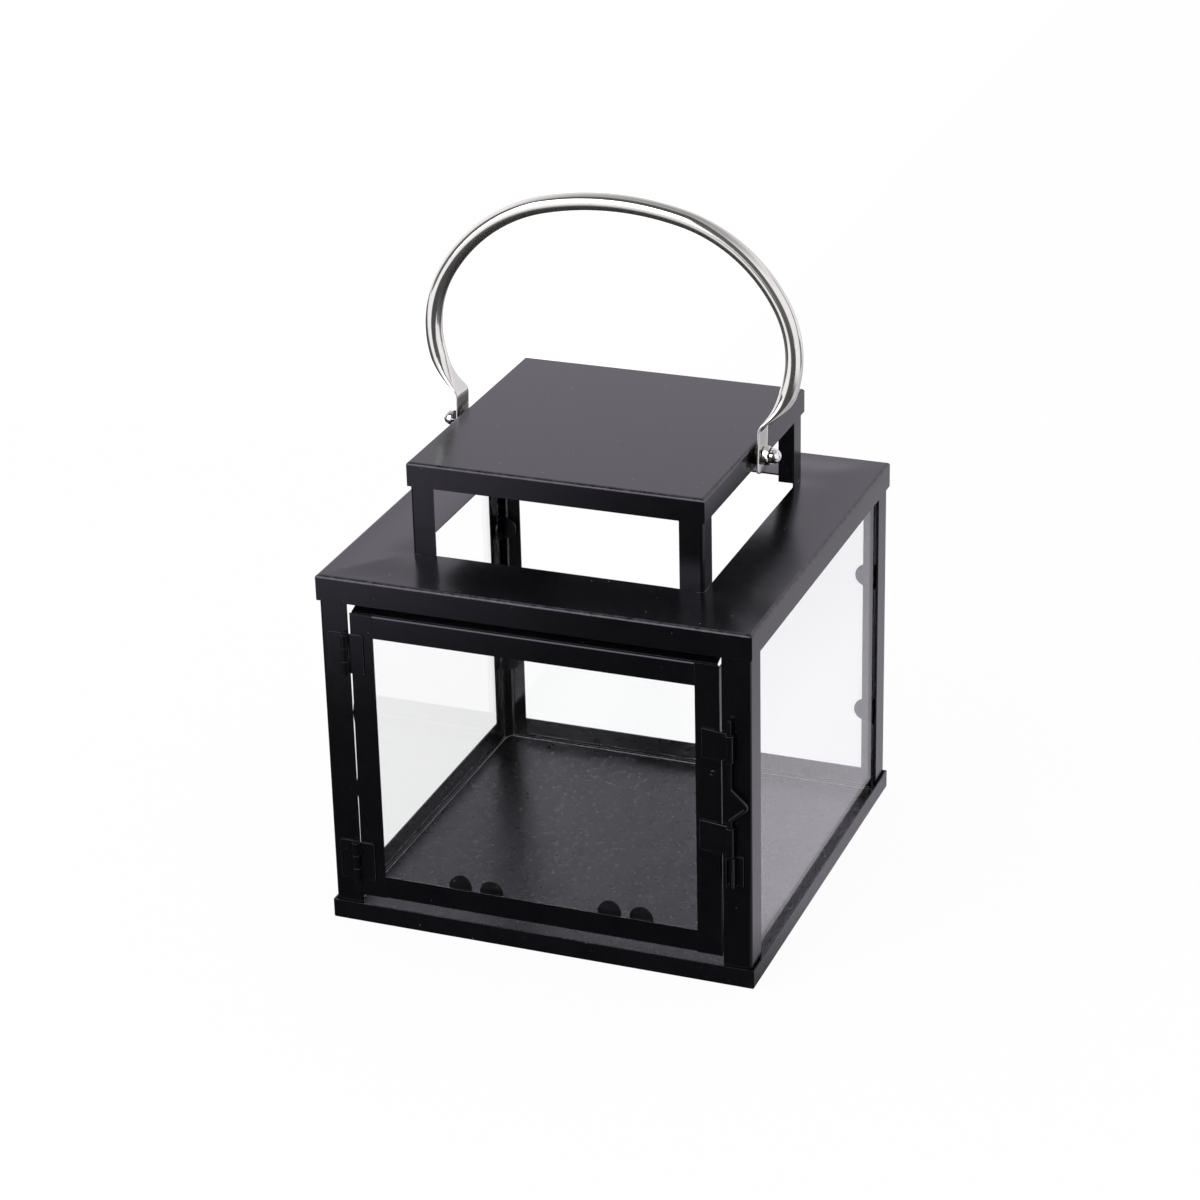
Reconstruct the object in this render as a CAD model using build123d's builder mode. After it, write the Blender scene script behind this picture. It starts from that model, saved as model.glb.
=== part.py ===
from build123d import *
from math import asin, cos, degrees, radians, sin
import os

os.makedirs("parts", exist_ok=True)

# Candle lantern in folded sheet steel: a tray, four angle posts, a hood with a vented chimney and
# cap, three fixed panes, a hinged glazed door with a sliding wire latch, and a swinging handle.
# Millimetres. Origin: centre of the underside of the tray. +Z up, -Y is the door side, +X its right.

# ---- sheet ----
sheet = 0.8                # steel sheet of tray, posts, hood, chimney, cap and door
fold = 1.6                 # outer radius of a fold
corner_slit = 0.3          # gap where two flanges butt at a corner
glass = 3.0                # pane thickness
slack = 0.3                # gap of a loosely held piece
weld_gap = 0.3             # between the end of a post and the sheet it is welded to

# ---- body ----
body = 198.0               # square across the outer faces of the corner posts
body_leg = 13.0            # leg of a corner post
tray_flange = 9.5          # height of the tray, with its up-turned flange
tray_gap = 0.5             # between posts and tray flange
hood_gap = 0.2             # between posts and hood flange
hood_top = 170.0           # top of the hood above the ground
hood_flange = 12.0         # height of the hood, with its down-turned flange

# ---- chimney and cap ----
cap = 137.0                # square across the cap
cap_flange = 11.2          # height of the cap, with its down-turned flange
cap_gap = 0.2              # between chimney posts and cap flange
chimney_height = 44.4      # from the top of the hood to the top of the cap
chimney_leg = 11.0         # leg of a chimney post
chimney_tail = 1.5         # how far a chimney post reaches below the hood sheet

# ---- panes ----
pane_inset = 6.0           # how far a pane's edge stops from the inside of the post's outer leg
pane_gap = 0.5             # between a pane and the legs it stands behind
pane_top_gap = 1.2         # between a pane and the hood sheet
clip_width = 11.0          # width of a glass clip, and diameter of its round tip
clip_sheet = 0.8
clip_play = 0.1            # between a clip's tongue and the pane
clip_foot = 4.6            # length of the foot that is spot-welded to the leg
clip_low_rise = 42.8       # middle of the lower clips above the tray's sheet
clip_high_drop = 56.2      # middle of the upper clips below the top of the hood
clip_show = 2.7            # how far the clips at the right of the back pane pass the post's leg
clip_hide = 0.9            # how far the tips of the other clips stay behind the legs

# ---- door ----
door_side_gap = 1.0        # between door and posts
door_low_gap = 4.5         # between the tray's flange and the door
door_top_gap = 4.4         # between the door and the hood's flange
door_frame = 10.8          # face width of the stiles and rails
door_depth = 8.0           # depth of the return that is folded back around the door
door_proud = 0.4           # how far the door's face stands in front of the posts
door_fold = 1.0            # outer radius of the door's folds
door_notch = 1.6           # relief at both ends of a stile's return
door_seam = 0.1            # gap of the butt seams between stiles and rails
door_clip_tall = 14.9      # height of the clips on the bottom rail
door_clip_short = 8.5      # height of the clips on the top rail
door_clip_near = 7.5       # from the middle of a pair to each clip
door_clip_left = -31.5     # middles of the two pairs
door_clip_right = 39.5

# ---- hinges ----
hinge_length = 19.0
hinge_low_inset = 8.0      # from the bottom of the door to the lower hinge
hinge_high_inset = 9.8     # from the top of the door to the upper hinge
hinge_sheet = 0.7
hinge_pin_r = 0.9
hinge_bore_play = 0.05
hinge_clear = 0.35         # between the knuckles and the face of the post
hinge_leaf = 8.4           # from the pin's axis to the outer edge of a leaf
hinge_axis_in = 1.1        # from the post's inner edge to the pin's axis
hinge_knuckle_gap = 0.15
hinge_head = 0.5           # peened head at each end of the pin
leaf_round = 1.0

# ---- latch ----
wire_r = 1.0
latch_axis_in = 4.2        # from the post's inner edge to the wire's axis
latch_sheet = 0.7
latch_bore_play = 0.15
latch_plate = 14.0         # height of each plate
guide_low_reach = 14.2     # from the wire's axis to the far edge of each guide plate
guide_high_reach = 12.8
guide_inset = 29.6         # from the top of the door to the upper guide
guide_step = 44.0          # from the upper guide down to the lower one
keeper_step = 15.8         # from the lower guide down to the keeper
keeper_reach = 5.4         # from the wire's axis to the far edge of the keeper plate
keeper_play = 0.5          # between the wire and the inside of the keeper's curl
keeper_mouth = 0.15        # between the wire and each lip of the slot in the curl's front
wire_short = 2.2           # how far the wire stops above the keeper's lower edge
wire_over = 5.4            # how far the wire passes the upper guide
bump_out = 8.0             # depth of the finger bump, before its bends are rounded
bump_half = 7.5            # half of its height
bump_round = 2.0
bump_rest = 2.1            # from the top of the lower guide to the start of the bump

# ---- handle ----
pivot_down = 5.8           # from the top of the cap to the pivot
handle_lean = 4.7          # degrees from upright, towards the back
tube_r = 4.0
ear_thick = 1.4
ear_width = 13.0
ear_rise = 13.0            # from the pivot to the bend of the ear
ear_drop = 7.6             # from the pivot to the end of the ear
ear_corner = 2.5
ear_play = 0.12            # on each side of an ear and of its washer
squash_in = 2.0            # how far the flattened end lies inside the tube's centre line
handle_bulge = 13.6        # how far the loop swells beyond the ears
loop_top_turn = 13.6       # turn of the flat top arc, on each side of the middle
loop_shoulder_turn = 46.4  # turn of each shoulder arc
loop_shoulder_r = 72.5
loop_side_r = 48.4
flatten_turn = 24.0        # the last part of a side arc, where the tube is squeezed flat
washer_r = 4.5
washer_thick = 1.6
screw_r = 2.0
screw_play = 0.1
screw_head_r = 4.0
screw_head = 2.4
nut_flats = 7.0
nut_hex = 3.2
nut_dome_r = 3.25
nut_height = 8.0
nut_thread_play = 0.05

# ---- derived places ----
half_body = body / 2
post_inside = half_body - sheet
opening_half = half_body - body_leg
tray = body + 2 * (tray_gap + sheet)
hood = body + 2 * (hood_gap + sheet)
hood_under = hood_top - sheet
cap_top = hood_top + chimney_height
chimney = cap - 2 * (sheet + cap_gap)
hinge_r = hinge_pin_r + hinge_bore_play + hinge_sheet
latch_r = wire_r + latch_bore_play + latch_sheet
clip_heights = (sheet + clip_low_rise, hood_top - clip_high_drop)
door_half = opening_half - door_side_gap
door_bottom = tray_flange + door_low_gap
door_top = hood_top - hood_flange - door_top_gap
door_height = door_top - door_bottom
door_face = -half_body - door_proud
hinge_x = -opening_half - hinge_axis_in
hinge_y = -half_body - hinge_clear - hinge_r
hinge_low = door_bottom + hinge_low_inset
hinge_high = door_top - hinge_high_inset - hinge_length
latch_x = opening_half + latch_axis_in
latch_y = -half_body - hinge_clear - latch_r
guide_high = door_top - guide_inset - latch_plate
guide_low = guide_high - guide_step
keeper_low = guide_low - keeper_step
pivot_z = cap_top - pivot_down
handle_plane = Plane(origin=(0, 0, pivot_z), x_dir=(1, 0, 0),
                     z_dir=(0, -cos(radians(handle_lean)), sin(radians(handle_lean))))


def keep(piece, name):
    """Label a finished piece and write its STEP file."""
    piece.part.label = name
    export_step(piece.part, f"parts/{name}.step")


def angle_post(name, size, leg, side_x, side_y, low, high):
    """L-shaped post at one corner of a square, with its fold at the outer corner."""
    edge_x = side_x * size / 2
    edge_y = side_y * size / 2
    with BuildPart() as post:
        with BuildSketch(Plane.XY.offset(low)):
            with BuildLine():
                Polyline((edge_x, edge_y), (edge_x - side_x * leg, edge_y),
                         (edge_x - side_x * leg, edge_y - side_y * sheet),
                         (edge_x - side_x * sheet, edge_y - side_y * sheet),
                         (edge_x - side_x * sheet, edge_y - side_y * leg),
                         (edge_x, edge_y - side_y * leg), close=True)
            make_face()
            along = [v for v in vertices() if abs(abs(v.X) - abs(v.Y)) < sheet / 4]
            outer = max(along, key=lambda v: abs(v.X))
            inner = min(along, key=lambda v: abs(v.X))
            fillet(outer, fold)
            fillet(inner, fold - sheet)
        extrude(amount=high - low)
    keep(post, name)


def folded_square(size, height, low, up):
    """Square sheet with four flanges; up is +1 for a tray and -1 for a lid."""
    face_end = 0 if up > 0 else -1
    hollow_low = low + sheet if up > 0 else low
    slit_low = low + fold if up > 0 else low
    with BuildPart() as hollow:
        with BuildSketch(Plane.XY.offset(hollow_low)):
            Rectangle(size - 2 * sheet, size - 2 * sheet)
        extrude(amount=height - sheet)
        fillet(edges().group_by(Axis.Z)[face_end], fold - sheet)
    with BuildPart() as folded:
        with BuildSketch(Plane.XY.offset(low)):
            Rectangle(size, size)
        extrude(amount=height)
        fillet(edges().group_by(Axis.Z)[face_end], fold)
        add(hollow.part, mode=Mode.SUBTRACT)
        with BuildSketch(Plane.XY.offset(slit_low)):
            for i in (-1, 1):
                for j in (-1, 1):
                    with Locations(Location((size / 2 * i, size / 2 * j), 45 * i * j)):
                        Rectangle(4 * sheet, corner_slit)
        extrude(amount=height - fold, mode=Mode.SUBTRACT)
    return folded.part


# ---- tray, hood and cap ----
with BuildPart() as base_tray:
    add(folded_square(tray, tray_flange, 0, 1))
keep(base_tray, "base_tray")

with BuildPart() as hood_sheet:
    add(folded_square(hood, hood_flange, hood_top - hood_flange, -1))
    with BuildSketch(Plane.XY.offset(hood_under)):
        Rectangle(chimney, chimney)
    extrude(amount=sheet, mode=Mode.SUBTRACT)
keep(hood_sheet, "hood")

with BuildPart() as cap_sheet:
    add(folded_square(cap, cap_flange, cap_top - cap_flange, -1))
    with BuildSketch(Plane.YZ.offset(-cap)):
        with Locations((0, pivot_z)):
            Circle(screw_r + screw_play)
    extrude(amount=2 * cap, mode=Mode.SUBTRACT)
keep(cap_sheet, "cap")

# ---- corner posts and chimney posts ----
corners = {"front_left": (-1, -1), "front_right": (1, -1), "back_left": (-1, 1), "back_right": (1, 1)}
for corner, (side_x, side_y) in corners.items():
    angle_post(f"corner_post_{corner}", body, body_leg, side_x, side_y,
               sheet + weld_gap, hood_under - weld_gap)
    angle_post(f"chimney_post_{corner}", chimney, chimney_leg, side_x, side_y,
               hood_under - chimney_tail, cap_top - sheet - weld_gap)

# ---- fixed panes with their clips ----
pane_half = post_inside - pane_inset
pane_out = post_inside - pane_gap
pane_in = pane_out - glass
pane_faces = {
    "left": Plane(origin=(0, 0, 0), x_dir=(0, -1, 0), z_dir=(-1, 0, 0)),
    "right": Plane(origin=(0, 0, 0), x_dir=(0, 1, 0), z_dir=(1, 0, 0)),
    "back": Plane(origin=(0, 0, 0), x_dir=(-1, 0, 0), z_dir=(0, 1, 0)),
}


def glass_clip(face, side, middle, tip):
    """Clip of bent sheet: foot on the leg, step past the pane's edge, round-ended tongue over it.

    face looks out through the pane, side is -1 or +1 along its x, middle is the clip's height and
    tip the distance of the tongue's end from the middle of the pane.
    """
    step_in = pane_half + slack
    foot_out = step_in + clip_foot
    tongue_back = pane_in - clip_sheet - clip_play
    with BuildPart() as clip:
        with BuildSketch(face.offset(post_inside - clip_sheet)):
            with Locations((side * (step_in + foot_out) / 2, middle)):
                Rectangle(foot_out - step_in, clip_width)
        extrude(amount=clip_sheet)
        with BuildSketch(face.offset(tongue_back)):
            with Locations((side * (step_in + clip_sheet / 2), middle)):
                Rectangle(clip_sheet, clip_width)
        extrude(amount=post_inside - tongue_back)
        with BuildSketch(face.offset(tongue_back)):
            with Locations((side * (tip + clip_width / 2), middle)):
                Circle(clip_width / 2)
            with Locations((side * (step_in + clip_sheet + clip_width / 2), middle)):
                Rectangle(clip_width, clip_width, mode=Mode.SUBTRACT)
        extrude(amount=clip_sheet)
    return clip.part


for place, face in pane_faces.items():
    with BuildPart() as pane:
        with BuildSketch(face.offset(pane_in)):
            with Locations((0, (sheet + hood_under - pane_top_gap) / 2)):
                Rectangle(2 * pane_half, hood_under - pane_top_gap - sheet)
        extrude(amount=glass)
    keep(pane, f"glass_{place}")
    with BuildPart() as clips:
        for side in (-1, 1):
            shown = place == "back" and side < 0
            tip = opening_half - clip_show if shown else opening_half + clip_hide
            for middle in clip_heights:
                add(glass_clip(face, side, middle, tip))
    keep(clips, f"glass_clips_{place}")

# ---- door frame ----
face_half = door_half - door_frame


def door_stile(name, side):
    """Full-height stile: face strip and a return folded back along the outer edge."""
    edge = side * door_half
    with BuildPart() as stile:
        with BuildSketch(Plane.XY.offset(door_bottom)):
            with BuildLine():
                Polyline((edge, door_face), (edge - side * door_frame, door_face),
                         (edge - side * door_frame, door_face + sheet),
                         (edge - side * sheet, door_face + sheet),
                         (edge - side * sheet, door_face + door_depth),
                         (edge, door_face + door_depth), close=True)
            make_face()
            fillet(vertices().sort_by_distance((edge, door_face, 0))[0], door_fold)
        extrude(amount=door_height)
        for low in (door_bottom, door_top - door_notch):
            with BuildSketch(Plane.XY.offset(low)):
                with Locations((edge, door_face + sheet + door_depth / 2)):
                    Rectangle(2.5 * sheet, door_depth)
            extrude(amount=door_notch, mode=Mode.SUBTRACT)
    keep(stile, name)


def door_rail(name, edge, inward):
    """Rail between the stiles: face strip, and a return that runs behind the stiles' faces."""
    reach = door_half - sheet - door_seam
    with BuildPart() as rail:
        with BuildSketch(Plane.YZ.offset(-face_half + door_seam)):
            with BuildLine():
                Polyline((door_face, edge), (door_face, edge + inward * door_frame),
                         (door_face + sheet, edge + inward * door_frame),
                         (door_face + sheet, edge + inward * sheet),
                         (door_face + door_depth, edge + inward * sheet),
                         (door_face + door_depth, edge), close=True)
            make_face()
            fillet(vertices().sort_by_distance((door_face, edge, 0))[0], door_fold)
        extrude(amount=2 * (face_half - door_seam))
        with BuildSketch(Plane.XY.offset(min(edge, edge + inward * sheet))):
            with Locations((0, door_face + sheet + door_seam + (door_depth - sheet - door_seam) / 2)):
                Rectangle(2 * reach, door_depth - sheet - door_seam)
        extrude(amount=sheet)
    keep(rail, name)


door_stile("door_stile_hinge", -1)
door_stile("door_stile_latch", 1)
door_rail("door_rail_top", door_top, -1)
door_rail("door_rail_bottom", door_bottom, 1)

# ---- door glass and its clips ----
door_glass_y = door_face + sheet + slack
with BuildPart() as door_glass:
    with BuildSketch(Plane.XY.offset(door_bottom + sheet)):
        with Locations((0, door_glass_y + glass / 2)):
            Rectangle(2 * (door_half - sheet - slack), glass)
    extrude(amount=door_height - 2 * sheet - 2 * slack)
keep(door_glass, "door_glass")

with BuildPart() as door_clips:
    tongue_y = door_glass_y + glass + clip_play
    rows = [(door_bottom + sheet, 1, door_clip_tall), (door_top - sheet, -1, door_clip_short)]
    for seat, inward, tall in rows:
        for middle in (door_clip_left, door_clip_right):
            for near in (-door_clip_near, door_clip_near):
                with BuildSketch(Plane.XZ.offset(-tongue_y - clip_sheet)):
                    with Locations((middle + near, seat + inward * (tall - clip_width / 2))):
                        Circle(clip_width / 2)
                    with Locations((middle + near, seat + inward * (tall - clip_width / 2) / 2)):
                        Rectangle(clip_width, tall - clip_width / 2)
                    with Locations((middle + near, seat - inward * clip_width / 2)):
                        Rectangle(clip_width, clip_width, mode=Mode.SUBTRACT)
                extrude(amount=clip_sheet)
                with BuildSketch(Plane.XY.offset(min(seat, seat + inward * clip_sheet))):
                    foot = door_face + door_depth - tongue_y
                    with Locations((middle + near, tongue_y + foot / 2)):
                        Rectangle(clip_width, foot)
                extrude(amount=clip_sheet)
keep(door_clips, "door_glass_clips")


# ---- hinges ----
def hinge_leaf_piece(name, low, back, edge_side, knuckles):
    """Leaf on the face at y = back, with rolled knuckles around the pin.

    edge_side is -1 for the leaf on the post and +1 for the one on the door; knuckles is a list of
    lower and upper heights above the hinge's foot.
    """
    far = hinge_x + edge_side * hinge_leaf
    near = hinge_x + edge_side * (hinge_r + hinge_knuckle_gap)
    with BuildPart() as leaf:
        with BuildSketch(Plane.XZ.offset(-back)):
            with Locations(((far + near) / 2, low + hinge_length / 2)):
                Rectangle(abs(far - near), hinge_length)
            fillet([v for v in vertices() if abs(v.X - far) < leaf_round / 2], leaf_round)
        extrude(amount=hinge_sheet)
        for start, stop in knuckles:
            with BuildSketch(Plane.XY.offset(low + start)):
                with Locations((hinge_x, hinge_y)):
                    Circle(hinge_r)
                with Locations(((hinge_x + near) / 2, back - hinge_sheet / 2)):
                    Rectangle(abs(near - hinge_x), hinge_sheet)
                with Locations((hinge_x, hinge_y)):
                    Circle(hinge_pin_r + hinge_bore_play, mode=Mode.SUBTRACT)
            extrude(amount=stop - start)
    keep(leaf, name)


third = hinge_length / 3
for place, low in (("lower", hinge_low), ("upper", hinge_high)):
    hinge_leaf_piece(f"hinge_leaf_door_{place}", low, door_face, 1,
                     [(0, third - hinge_knuckle_gap), (2 * third + hinge_knuckle_gap, hinge_length)])
    hinge_leaf_piece(f"hinge_leaf_post_{place}", low, -half_body, -1, [(third, 2 * third)])
    with BuildPart() as pin:
        with BuildSketch(Plane.XY.offset(low - hinge_knuckle_gap)):
            with Locations((hinge_x, hinge_y)):
                Circle(hinge_pin_r)
        extrude(amount=hinge_length + 2 * hinge_knuckle_gap)
        for head in (low - hinge_knuckle_gap - hinge_head, low + hinge_length + hinge_knuckle_gap):
            with BuildSketch(Plane.XY.offset(head)):
                with Locations((hinge_x, hinge_y)):
                    Circle((hinge_pin_r + hinge_r) / 2)
            extrude(amount=hinge_head)
    keep(pin, f"hinge_pin_{place}")

# ---- latch ----
guides = (("lower", guide_low, guide_low_reach), ("upper", guide_high, guide_high_reach))
for place, low, reach in guides:
    with BuildPart() as guide:
        with BuildSketch(Plane.XY.offset(low)):
            with Locations((latch_x - reach / 2, door_face - latch_sheet / 2)):
                Rectangle(reach, latch_sheet)
            with Locations((latch_x, latch_y)):
                Circle(latch_r)
                Circle(wire_r + latch_bore_play, mode=Mode.SUBTRACT)
        extrude(amount=latch_plate)
    keep(guide, f"latch_guide_{place}")

with BuildPart() as keeper:
    keeper_r = wire_r + keeper_play + latch_sheet
    with BuildSketch(Plane.XY.offset(keeper_low)):
        with Locations((latch_x + keeper_reach / 2, -half_body - latch_sheet / 2)):
            Rectangle(keeper_reach, latch_sheet)
        with Locations((latch_x, latch_y)):
            Circle(keeper_r)
            Circle(wire_r + keeper_play, mode=Mode.SUBTRACT)
        with Locations((latch_x, latch_y - keeper_r)):
            Rectangle(2 * (wire_r + keeper_mouth), 2 * keeper_r, mode=Mode.SUBTRACT)
        with Locations((latch_x, -half_body + keeper_r)):
            Rectangle(4 * keeper_r, 2 * keeper_r, mode=Mode.SUBTRACT)
    extrude(amount=latch_plate)
keep(keeper, "latch_keeper")

with BuildPart() as latch_wire:
    wire_bottom = keeper_low + wire_short
    bump_low = guide_low + latch_plate + bump_rest
    wire_plane = Plane(origin=(latch_x, latch_y, 0), x_dir=(1, 0, 0), z_dir=(0, -1, 0))
    with BuildLine(wire_plane) as wire_path:
        FilletPolyline((0, wire_bottom), (0, bump_low), (bump_out, bump_low + bump_half),
                       (0, bump_low + 2 * bump_half), (0, guide_high + latch_plate + wire_over),
                       radius=bump_round)
    with BuildSketch(Plane(origin=(latch_x, latch_y, wire_bottom))):
        Circle(wire_r)
    sweep(path=wire_path.wires()[0])
keep(latch_wire, "latch_wire")

# ---- handle ----
ear_in = cap / 2 + washer_thick + 2 * ear_play
ear_x = ear_in + ear_thick / 2
loop_half = ear_x + handle_bulge
shoulder_end = loop_top_turn + loop_shoulder_turn
loop_top_r = (loop_half
              - loop_shoulder_r * (sin(radians(shoulder_end)) - sin(radians(loop_top_turn)))
              - loop_side_r * (1 - sin(radians(shoulder_end)))) / sin(radians(loop_top_turn))
side_end = 180 - degrees(asin((loop_side_r - handle_bulge) / (loop_side_r - squash_in)))
widest = ear_rise - (loop_side_r - squash_in) * cos(radians(side_end))
round_end = side_end - flatten_turn


def side_arc(turn, side, inset=0.0):
    """Point and heading on the loop's side arc, turn degrees from the heading at the top."""
    radius = loop_side_r - inset
    centre = loop_half - loop_side_r
    point = (side * (centre + radius * sin(radians(turn))), widest + radius * cos(radians(turn)))
    heading = (side * cos(radians(turn)), -sin(radians(turn)))
    return point, heading


def section_plane(turn, side, inset=0.0):
    """Plane across the tube at a place on the side arc, its x square to the handle's plane."""
    point, heading = side_arc(turn, side, inset)
    ahead = Vector(point[0] + heading[0], point[1] + heading[1], 0)
    origin = handle_plane.from_local_coords(Vector(*point, 0))
    along = handle_plane.from_local_coords(ahead) - origin
    return Plane(origin=origin, x_dir=handle_plane.z_dir, z_dir=along)


with BuildPart() as handle:
    with BuildLine(handle_plane) as loop:
        left_end, left_heading = side_arc(round_end, -1)
        side_left = JernArc(start=left_end, tangent=(-left_heading[0], -left_heading[1]),
                            radius=loop_side_r, arc_size=-(round_end - shoulder_end))
        shoulder_left = JernArc(start=side_left @ 1, tangent=side_left % 1,
                                radius=loop_shoulder_r, arc_size=-loop_shoulder_turn)
        top = JernArc(start=shoulder_left @ 1, tangent=shoulder_left % 1,
                      radius=loop_top_r, arc_size=-2 * loop_top_turn)
        shoulder_right = JernArc(start=top @ 1, tangent=top % 1,
                                 radius=loop_shoulder_r, arc_size=-loop_shoulder_turn)
        JernArc(start=shoulder_right @ 1, tangent=shoulder_right % 1,
                radius=loop_side_r, arc_size=-(round_end - shoulder_end))
    with BuildSketch(section_plane(round_end, -1)):
        Circle(tube_r)
    sweep(path=loop.wires()[0])
    for side in (-1, 1):
        # the tube is squeezed flat towards the inside of the loop, then bent down into the ear
        for start in range(3):
            for step in (start, start + 1):
                part_way = step / 3
                inset = squash_in * part_way ** 2
                half_thick = tube_r + (ear_thick / 2 - tube_r) * part_way
                half_wide = tube_r + (ear_width / 2 - tube_r) * part_way ** 1.5
                with BuildSketch(section_plane(round_end + flatten_turn * part_way, side, inset)):
                    Ellipse(half_wide, half_thick)
            loft()
        bend = handle_plane.from_local_coords(Vector(side * ear_x, ear_rise, -ear_width / 2))
        with BuildSketch(Plane(origin=bend, x_dir=(1, 0, 0), z_dir=handle_plane.z_dir)):
            Circle(ear_thick / 2)
        extrude(amount=ear_width)
        ear_plane = Plane(origin=(side * ear_x - ear_thick / 2, 0, pivot_z), x_dir=-handle_plane.z_dir,
                          z_dir=(1, 0, 0))
        with BuildSketch(ear_plane):
            with Locations((0, (ear_rise - ear_drop) / 2)):
                Rectangle(ear_width, ear_rise + ear_drop)
            fillet(vertices().group_by(Axis.Y)[0], ear_corner)
            Circle(screw_r + screw_play, mode=Mode.SUBTRACT)
        extrude(amount=ear_thick)
keep(handle, "handle")

# ---- pivot washers, screws and acorn nuts ----
nut_seat = ear_in + ear_thick + ear_play
for place, side in (("left", -1), ("right", 1)):
    outward = Plane(origin=(0, 0, pivot_z), x_dir=(0, 1, 0), z_dir=(side, 0, 0))
    far_end = -1 if side > 0 else 0
    with BuildPart() as washer:
        with BuildSketch(outward.offset(cap / 2 + ear_play)):
            Circle(washer_r)
            Circle(screw_r + screw_play, mode=Mode.SUBTRACT)
        extrude(amount=washer_thick)
    keep(washer, f"handle_washer_{place}")
    with BuildPart() as screw:
        with BuildSketch(outward.offset(cap / 2 - sheet - screw_head)):
            Circle(screw_head_r)
        extrude(amount=screw_head)
        fillet(edges().filter_by(GeomType.CIRCLE).sort_by(Axis.X)[-1 - far_end], screw_head / 3)
        with BuildSketch(outward.offset(cap / 2 - sheet)):
            Circle(screw_r)
        extrude(amount=nut_seat + nut_hex - cap / 2 + sheet)
    keep(screw, f"handle_screw_{place}")
    with BuildPart() as nut:
        with BuildSketch(outward.offset(nut_seat)):
            RegularPolygon(nut_flats / 2, 6, major_radius=False)
        extrude(amount=nut_hex)
        with BuildSketch(outward.offset(nut_seat + nut_hex)):
            Circle(nut_dome_r)
        extrude(amount=nut_height - nut_hex)
        fillet(edges().filter_by(GeomType.CIRCLE).sort_by(Axis.X)[far_end], nut_dome_r - slack)
        with BuildSketch(outward.offset(nut_seat)):
            Circle(screw_r + nut_thread_play)
        extrude(amount=nut_hex + slack, mode=Mode.SUBTRACT)
    keep(nut, f"acorn_nut_{place}")
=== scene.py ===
import bpy
import bmesh
from math import asin, cos, pi, radians, sin, sqrt
from mathutils import Matrix, Vector


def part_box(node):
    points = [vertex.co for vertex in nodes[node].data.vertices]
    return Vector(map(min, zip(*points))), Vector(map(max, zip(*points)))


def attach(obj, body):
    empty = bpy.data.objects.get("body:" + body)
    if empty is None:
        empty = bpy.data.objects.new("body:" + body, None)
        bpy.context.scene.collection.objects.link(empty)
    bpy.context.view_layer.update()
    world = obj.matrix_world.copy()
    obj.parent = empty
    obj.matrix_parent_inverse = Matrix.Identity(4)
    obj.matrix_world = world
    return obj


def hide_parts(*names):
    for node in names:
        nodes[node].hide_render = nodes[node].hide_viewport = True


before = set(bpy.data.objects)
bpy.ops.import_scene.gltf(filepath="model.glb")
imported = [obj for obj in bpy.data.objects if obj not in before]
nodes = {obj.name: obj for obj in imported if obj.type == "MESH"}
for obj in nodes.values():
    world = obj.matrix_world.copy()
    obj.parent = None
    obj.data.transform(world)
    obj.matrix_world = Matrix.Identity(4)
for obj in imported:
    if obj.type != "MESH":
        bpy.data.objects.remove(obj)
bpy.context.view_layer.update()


# ---- Tray: the folded sheet that everything stands on ----
# A square of 0.8 mm steel with its four edges folded up, sprayed satin black like all the sheet
# metal. The paint is a thin stoved skin: fine orange peel, settled dust, and edges and folds made
# lighter, partly as rubbed paint and partly as a painted highlight.

def new_group(kind, name, takes, gives, given_kind="Float"):
    """Empty node group: its tree, its input sockets and its output node.

    takes lists the inputs, each with its number or with its kind of socket, gives names the
    outputs and given_kind is what they are."""
    tree = bpy.data.node_groups.new(name, kind + "NodeTree")
    for label, value in takes:
        socket_kind = value if isinstance(value, str) else "Float"
        socket = tree.interface.new_socket(label, in_out="INPUT",
                                           socket_type="NodeSocket" + socket_kind)
        if value != socket_kind:
            socket.default_value = value
    for label in gives:
        tree.interface.new_socket(label, in_out="OUTPUT", socket_type="NodeSocket" + given_kind)
    return tree, tree.nodes.new("NodeGroupInput").outputs, tree.nodes.new("NodeGroupOutput")


def fill(tree, node, **values):
    """Set or link a node's named inputs; an underline stands for a space."""
    for label, value in values.items():
        socket = node.inputs[label.replace("_", " ")]
        if isinstance(value, bpy.types.NodeSocket):
            tree.links.new(value, socket)
        else:
            socket.default_value = value
    return node


def placed(tree, kind, **values):
    """New node of a kind with these inputs."""
    return fill(tree, tree.nodes.new(kind), **values)


def maths(tree, operation, first, second=0.5, clamp=False, kind="ShaderNodeMath"):
    """Math node; each of its two values is a number, a triple or another node's socket."""
    node = tree.nodes.new(kind)
    node.operation = operation
    if clamp:
        node.use_clamp = True
    for place, value in enumerate((first, second)):
        if isinstance(value, bpy.types.NodeSocket):
            tree.links.new(value, node.inputs[place])
        else:
            node.inputs[place].default_value = value
    return node.outputs[0]


def product(tree, value, *others):
    """Several numbers or sockets multiplied."""
    for other in others:
        value = maths(tree, "MULTIPLY", value, other)
    return value


def spread(tree, value, low, high, new_low=0.0, new_high=1.0):
    """Map Range node from low..high to new_low..new_high, held at both ends."""
    return placed(tree, "ShaderNodeMapRange", Value=value, From_Min=low, From_Max=high,
                  To_Min=new_low, To_Max=new_high).outputs["Result"]


def millimetres(tree):
    """Object coordinates in millimetres, so that a scale of 1 is one feature a millimetre."""
    place = tree.nodes.new("ShaderNodeTexCoord").outputs["Object"]
    return placed(tree, "ShaderNodeMapping", Vector=place,
                  Scale=(1000, 1000, 1000)).outputs["Vector"]


def noise(tree, vector, scale, detail=3.0, rough=0.55, twist=0.0):
    """Noise node; scale is how many lumps there are to one unit of the vector."""
    return placed(tree, "ShaderNodeTexNoise", Vector=vector, Scale=scale, Detail=detail,
                  Roughness=rough, Distortion=twist).outputs["Fac"]


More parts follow.
